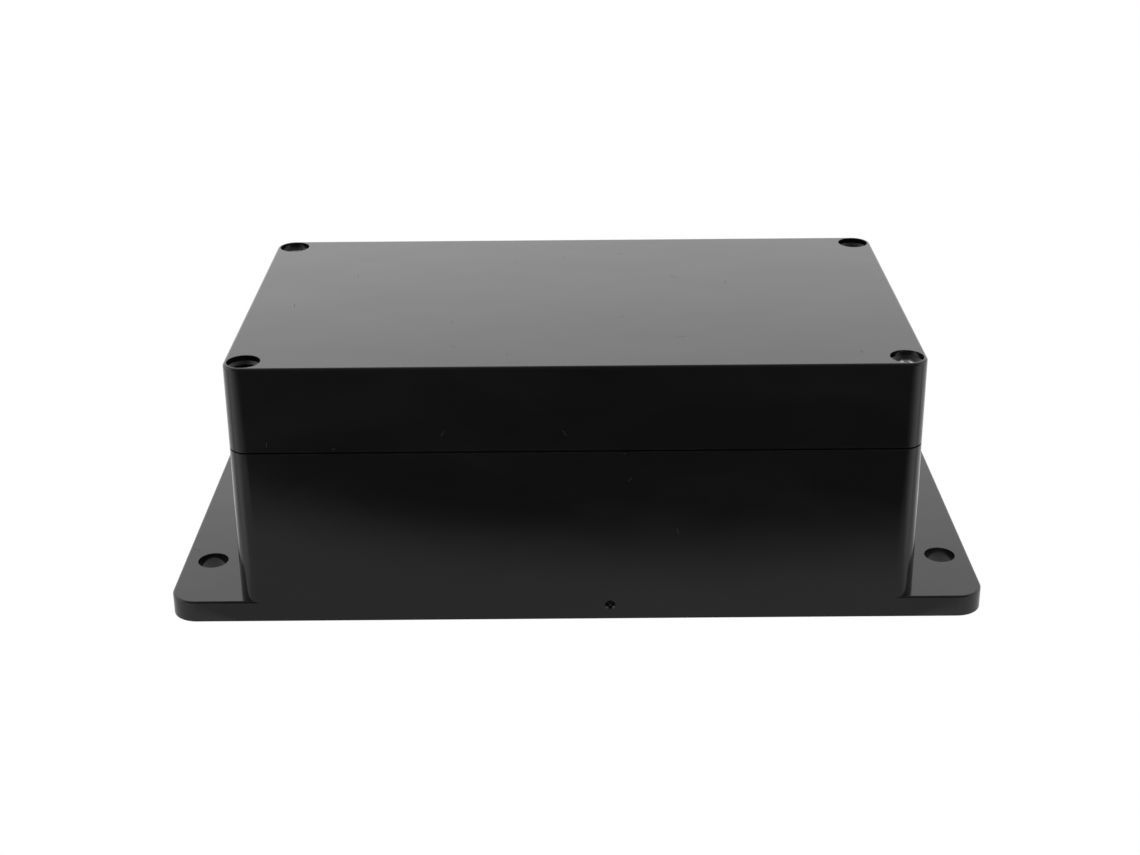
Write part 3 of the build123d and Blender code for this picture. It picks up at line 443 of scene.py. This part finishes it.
def plastic(name, tone, rough, ior=1.5, grain_depth=0.000008):
    """A small moulded part: fine grain, and colour that drifts a little."""
    s = Shader(name)
    s.fixed(IOR=ior)
    drift = s.noise(240.0, 3.0)
    darker = tuple(c * 0.8 for c in tone)
    s.colour(s.mix(s.span(drift, 0.3, 0.7, 0.0, 1.0), tone, darker))
    s.roughness(s.span(drift, 0.3, 0.7, rough - 0.04, rough + 0.07))
    s.normal(s.bump(s.noise(3600.0, 3.0), grain_depth, 0.7))
    return s.material


def glassy(name, tone, rough, share):
    """Clear moulded plastic with faint flow lines."""
    s = Shader(name)
    s.fixed(IOR=1.49, Transmission_Weight=share)
    flow = s.noise(300.0, 2.0, 0.5, s.stretched((1.0, 0.2, 1.0)))
    s.colour(s.mix(flow, tone, tuple(c * 0.92 for c in tone)))
    s.roughness(s.span(flow, 0.3, 0.7, rough, rough + 0.05))
    s.normal(s.bump(flow, 0.00001, 0.4))
    return s.material


TRACK_GRID = 0.0009
TRACK_HALF_WIDTH = 0.13
VIA_SHARE = 0.07
VIA_RADIUS_SQUARED = 0.045


def board_laminate():
    """Green solder mask over copper tracks and pours, with tinned vias and the weave just showing."""
    s = Shader("board_laminate")
    s.fixed(IOR=1.5)
    s.surface.inputs["Coat Weight"].default_value = 0.3
    s.surface.inputs["Coat Roughness"].default_value = 0.12
    grid = s.stretched((1 / TRACK_GRID, 1 / TRACK_GRID, 0.0))
    cell = s.one_vector("FLOOR", grid)
    chance = s.tree.nodes.new("ShaderNodeTexWhiteNoise")
    s.link(cell, chance.inputs["Vector"])
    within = s.split(s.one_vector("FRACTION", grid))
    across_x = s.size_of(s.maths("SUBTRACT", within["X"], 0.5))
    across_y = s.size_of(s.maths("SUBTRACT", within["Y"], 0.5))
    upright = s.maths("GREATER_THAN", chance.outputs["Value"], 0.5)
    along_y = s.maths("MULTIPLY", s.maths("LESS_THAN", across_x, TRACK_HALF_WIDTH), upright)
    along_x = s.maths(
        "MULTIPLY", s.maths("LESS_THAN", across_y, TRACK_HALF_WIDTH), s.maths("SUBTRACT", 1.0, upright)
    )
    tracks = s.maths("MAXIMUM", along_x, along_y)
    pour = s.span(s.noise(55.0, 1.0, 0.3), 0.49, 0.5, 0.0, 1.0)
    copper = s.maths("MAXIMUM", tracks, pour)
    round_x = s.maths("MULTIPLY", across_x, across_x)
    round_y = s.maths("MULTIPLY", across_y, across_y)
    spot = s.maths("LESS_THAN", s.maths("ADD", round_x, round_y), VIA_RADIUS_SQUARED)
    picked = s.maths("GREATER_THAN", chance.outputs["Value"], 1 - VIA_SHARE)
    via = s.maths("MULTIPLY", spot, picked)
    warp = s.noise(1500.0, 1.0, 0.3, s.stretched((1.0, 0.08, 1.0)))
    weft = s.noise(1500.0, 1.0, 0.3, s.stretched((0.08, 1.0, 1.0)))
    weave = s.maths("MULTIPLY", warp, weft)
    bare = s.mix(s.span(weave, 0.15, 0.4, 0.0, 1.0), (0.004, 0.045, 0.018), (0.009, 0.07, 0.028))
    masked = s.mix(copper, bare, (0.016, 0.15, 0.052))
    s.colour(s.mix(via, masked, (0.62, 0.62, 0.58)))
    s.link(via, s.surface.inputs["Metallic"])
    s.roughness(s.span(weave, 0.1, 0.45, 0.28, 0.4))
    relief = s.maths("ADD", s.maths("MULTIPLY", weave, 0.25), copper)
    s.normal(s.bump(relief, 0.00003, 0.6))
    return s.material


MATERIALS = {
    "case_plastic": case_plastic,
    "seal_rubber": lambda: rubber("seal_rubber", (0.035, 0.035, 0.037)),
    "thermal_silicone": lambda: rubber("thermal_silicone", (0.22, 0.32, 0.46), 0.7),
    "coax_jacket": lambda: rubber("coax_jacket", (0.20, 0.075, 0.03), 0.4),
    "red_wire": lambda: rubber("red_wire", (0.42, 0.015, 0.012), 0.42),
    "black_wire": lambda: rubber("black_wire", (0.012, 0.012, 0.013), 0.42),
    "brass": lambda: metal("brass", (0.78, 0.57, 0.28), 0.28, (1, 1, 6)),
    "stainless": lambda: metal("stainless", (0.80, 0.79, 0.77), 0.2, (1, 1, 1), 1800.0, 0.9),
    "steel": lambda: metal("steel", (0.62, 0.63, 0.65), 0.34, (1, 1, 3)),
    "bare_aluminium": lambda: metal("bare_aluminium", (0.84, 0.85, 0.86), 0.38, (0.05, 1, 1)),
    "tinned_steel": lambda: metal("tinned_steel", (0.74, 0.74, 0.72), 0.26, (0.1, 1, 1), 1500.0),
    "gold_plate": lambda: metal("gold_plate", (0.95, 0.70, 0.32), 0.22),
    "nickel_plate": lambda: metal("nickel_plate", (0.76, 0.73, 0.68), 0.2, (1, 0.15, 1), 2200.0, 0.88),
    "capacitor_can": lambda: metal("capacitor_can", (0.82, 0.83, 0.84), 0.3, (1, 1, 0.1)),
    "board_laminate": board_laminate,
    "chip_epoxy": lambda: plastic("chip_epoxy", (0.018, 0.018, 0.019), 0.5, 1.5, 0.00002),
    "ferrite": lambda: plastic("ferrite", (0.05, 0.05, 0.055), 0.55, 1.5, 0.00003),
    "chip_ceramic": lambda: plastic("chip_ceramic", (0.42, 0.31, 0.20), 0.4),
    "white_nylon": lambda: plastic("white_nylon", (0.78, 0.76, 0.70), 0.45),
    "inlet_plastic": lambda: plastic("inlet_plastic", (0.012, 0.012, 0.013), 0.38),
    "silvered_ceramic": lambda: metal("silvered_ceramic", (0.78, 0.76, 0.70), 0.5, (1, 1, 1), 900.0),
    "ptfe": lambda: plastic("ptfe", (0.86, 0.86, 0.83), 0.42, 1.38),
    "lens_plastic": lambda: glassy("lens_plastic", (0.80, 0.93, 0.84), 0.08, 0.85),
    "lamp_epoxy": lambda: glassy("lamp_epoxy", (0.25, 0.80, 0.32), 0.12, 0.6),
}


def dress_nodes():
    """Every CAD node takes its slot's material."""
    made = {slot: make() for slot, make in MATERIALS.items()}
    for part in frame["record"]["subparts"]:
        piece = NODES[part["node"]]
        piece.data.materials.clear()
        piece.data.materials.append(made[part["material_slot"]])
    return made


# ---------------------------------------------------------------- added pieces

THREAD_PITCH = 25.4 / 24
THREAD_CUT = 0.55
THREAD_RUN_OUT = 0.6
THREAD_LEAD_IN = 0.8
JACK_CREST = 7.94
JACK_BORE = 4.5
JACK_BORE_DEPTH = 12.0
JACK_SLEEVE_BORE = 3.3
JACK_STUB = 4.4
JACK_STUB_LENGTH = 6.5
JACK_LEAD_BORE = 1.4
JACK_FLATS = 20.8
JACK_CORNER_REACH = 1.1
JACK_CHAMFER = 0.5
JACK_MOUTH_CHAMFER = 0.25
JACK_FLANGE = 3.5
JACK_REACH = 11.0
RING_POINTS = 120
ROWS_PER_TURN = 8


def node_box(name):
    """The low and the high corner of a CAD node, in the shared frame."""
    piece = NODES[name]
    corners = [piece.matrix_world @ v.co for v in piece.data.vertices]
    low = Vector([min(c[i] for c in corners) for i in range(3)])
    high = Vector([max(c[i] for c in corners) for i in range(3)])
    return low, high


def new_piece(name, points, faces, material, body):
    """A mesh piece that rides on a body and takes a record slot's finish."""
    mesh = bpy.data.meshes.new(name)
    mesh.from_pydata(points, [], faces)
    mesh.validate()
    mesh.polygons.foreach_set("use_smooth", [True] * len(mesh.polygons))
    mesh.set_sharp_from_angle(angle=math.radians(32))
    mesh.materials.append(made[material])
    piece = bpy.data.objects.new(name, mesh)
    bpy.context.scene.collection.objects.link(piece)
    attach(piece, body)
    return piece


def thread_radius(y, angle, from_root, from_end):
    """A 60 degree thread's surface, whose cut runs out at the flange and is chamfered at its end."""
    phase = (y / THREAD_PITCH + angle / (2 * math.pi)) % 1.0
    ridge = min(1.0, max(0.0, 1.25 - 2.5 * abs(phase - 0.5)))
    run_out = min(1.0, max(0.0, from_root / THREAD_RUN_OUT))
    lead_in = max(0.0, 1.0 - from_end / THREAD_LEAD_IN)
    return JACK_CREST - THREAD_CUT * max((1.0 - ridge) * run_out, lead_in)


def hexagon_radius(angle, most):
    """The reach of a hexagon's side at an angle, with its corners turned down to most."""
    turned = (angle + math.pi / 6) % (math.pi / 3) - math.pi / 6
    return min(JACK_FLATS / 2 / math.cos(turned), most)


def jack_rings(back, mouth):
    """Radius against angle, ring by ring, out along the jack and back down its bore."""
    flange_front = mouth - JACK_REACH
    flange_back = flange_front - JACK_FLANGE
    thread_end = back + JACK_STUB_LENGTH
    corner = JACK_FLATS / 2 + JACK_CORNER_REACH
    rings = [(back, lambda a: JACK_LEAD_BORE), (back, lambda a: JACK_STUB)]
    rings.append((thread_end, lambda a: JACK_STUB))

    def thread(start, end):
        """Rows from start to end, as seen from the flange: start may be the further along."""
        count = math.ceil(abs(end - start) / THREAD_PITCH * ROWS_PER_TURN)
        order = range(count + 1) if end > start else range(count, -1, -1)
        for row in order:
            y = start + (end - start) * row / count
            from_flange = abs(y - start)
            rings.append((
                y,
                lambda a, y=y, d=from_flange: thread_radius(y, a, d, abs(end - start) - d),
            ))

    thread(flange_back, thread_end)
    rings.append((flange_back, lambda a: hexagon_radius(a, corner - JACK_CHAMFER)))
    rings.append((flange_back + JACK_CHAMFER, lambda a: hexagon_radius(a, corner)))
    rings.append((flange_front - JACK_CHAMFER, lambda a: hexagon_radius(a, corner)))
    rings.append((flange_front, lambda a: hexagon_radius(a, corner - JACK_CHAMFER)))
    thread(flange_front, mouth)
    bore_end = mouth - JACK_BORE_DEPTH
    rings.append((mouth, lambda a: JACK_BORE + JACK_MOUTH_CHAMFER))
    rings.append((mouth - JACK_MOUTH_CHAMFER, lambda a: JACK_BORE))
    rings.append((bore_end, lambda a: JACK_BORE))
    rings.append((bore_end, lambda a: JACK_SLEEVE_BORE))
    rings.append((thread_end, lambda a: JACK_SLEEVE_BORE))
    rings.append((thread_end, lambda a: JACK_LEAD_BORE))
    return rings


def threaded_jack(node):
    """An antenna jack with its coupling thread cut, in place of the plain CAD one."""
    low, high = node_box(node)
    x = (low.x + high.x) / 2
    z = (low.z + high.z) / 2
    rings = jack_rings(low.y / MM, high.y / MM)
    points = []
    for y, reach in rings:
        for step in range(RING_POINTS):
            angle = 2 * math.pi * step / RING_POINTS
            radius = reach(angle) * MM
            points.append((x + radius * math.sin(angle), y * MM, z + radius * math.cos(angle)))
    faces = []
    for ring in range(len(rings)):
        here = ring * RING_POINTS
        there = (ring + 1) % len(rings) * RING_POINTS
        for step in range(RING_POINTS):
            after = (step + 1) % RING_POINTS
            faces.append((here + step, here + after, there + after, there + step))
    piece = new_piece(node + "_threaded", points, faces, "nickel_plate", "base")
    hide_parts(node)


def islands(node):
    """The low and high corners of each separate solid in a CAD node."""
    mesh = NODES[node].data
    turn = NODES[node].matrix_world
    keys = [tuple(round(c * 1e6) for c in turn @ v.co) for v in mesh.vertices]
    leader = {key: key for key in keys}

    def find(key):
        while leader[key] != key:
            key = leader[key]
        return key

    for edge in mesh.edges:
        first, second = (find(keys[v]) for v in edge.vertices)
        leader[first] = second
    groups = {}
    for key in leader:
        groups.setdefault(find(key), []).append(key)
    boxes = []
    for keys in groups.values():
        low = Vector([min(k[i] for k in keys) * 1e-6 for i in range(3)])
        high = Vector([max(k[i] for k in keys) * 1e-6 for i in range(3)])
        boxes.append((low, high))
    return sorted(boxes, key=lambda box: tuple(box[0]))


def add_prism(points, faces, outline, place, outward, width):
    """A bar of one outline, given as (outward, up) points, that spans width across."""
    across = Vector((-outward.y, outward.x, 0.0))
    first = len(points)
    count = len(outline)
    for side in (-0.5, 0.5):
        for out, up in outline:
            points.append(place + outward * out + Vector((0, 0, up)) + across * side * width)
    faces.append(tuple(range(first, first + count)))
    faces.append(tuple(reversed(range(first + count, first + 2 * count))))
    for k in range(count):
        after = (k + 1) % count
        faces.append((first + after, first + k, first + count + k, first + count + after))


CAP_LENGTH = 0.38 * MM
CAP_PROUD = 0.02 * MM
SOLDER_REACH = 0.28 * MM
SOLDER_CLIMB = 0.45 * MM


def chip_terminals():
    """The tinned ends of the small chip parts, each with its foot of solder."""
    points, faces = [], []
    for low, high in islands("chip_parts"):
        size = high - low
        long_x = size.x > size.y
        outward = Vector((1, 0, 0)) if long_x else Vector((0, 1, 0))
        middle = (low + high) / 2
        half = max(size.x, size.y) / 2
        width = min(size.x, size.y) + 2 * CAP_PROUD
        top = size.z + CAP_PROUD
        outline = [
            (half - CAP_LENGTH, 0.0),
            (half + SOLDER_REACH, 0.0),
            (half + SOLDER_REACH * 0.35, SOLDER_CLIMB * 0.4),
            (half + CAP_PROUD, SOLDER_CLIMB),
            (half + CAP_PROUD, top),
            (half - CAP_LENGTH, top),
        ]
        foot = Vector((middle.x, middle.y, low.z))
        for sign in (-1, 1):
            add_prism(points, faces, outline, foot, outward * sign, width)
    new_piece("chip_terminals", points, faces, "tinned_steel", "base")


LEADS_PER_SIDE = 12
LEAD_PITCH = 0.7 * MM
LEAD_WIDTH = 0.3 * MM
LEAD_SHEET = 0.12 * MM
LEAD_SHOULDER = 0.35 * MM
LEAD_FOOT = 0.55 * MM


def controller_leads():
    """Gull-wing leads along the controller's four sides."""
    (low, high), = islands("controller_chip")
    middle = (low + high) / 2
    half = (high.x - low.x) / 2
    knee = (high.z - low.z) / 2
    end = half + LEAD_SHOULDER + LEAD_FOOT
    outline = [
        (half - 0.1 * MM, knee),
        (half + LEAD_SHOULDER - LEAD_SHEET, knee),
        (half + LEAD_SHOULDER, 0.0),
        (end, 0.0),
        (end, LEAD_SHEET),
        (half + LEAD_SHOULDER + LEAD_SHEET, LEAD_SHEET),
        (half + LEAD_SHOULDER, knee + LEAD_SHEET),
        (half - 0.1 * MM, knee + LEAD_SHEET),
    ]
    points, faces = [], []
    for quarter in range(4):
        angle = quarter * math.pi / 2
        outward = Vector((round(math.cos(angle)), round(math.sin(angle)), 0))
        across = Vector((-outward.y, outward.x, 0))
        for lead in range(LEADS_PER_SIDE):
            shift = (lead - (LEADS_PER_SIDE - 1) / 2) * LEAD_PITCH
            place = Vector((middle.x, middle.y, low.z)) + across * shift
            add_prism(points, faces, outline, place, outward, LEAD_WIDTH)
    new_piece("controller_leads", points, faces, "tinned_steel", "base")


make_camera()
make_world()
make_floor()
made = dress_nodes()
for side in ("outdoor", "indoor"):
    threaded_jack(side + "_jack_body")
chip_terminals()
controller_leads()
bpy.context.scene.view_settings.view_transform = "Standard"
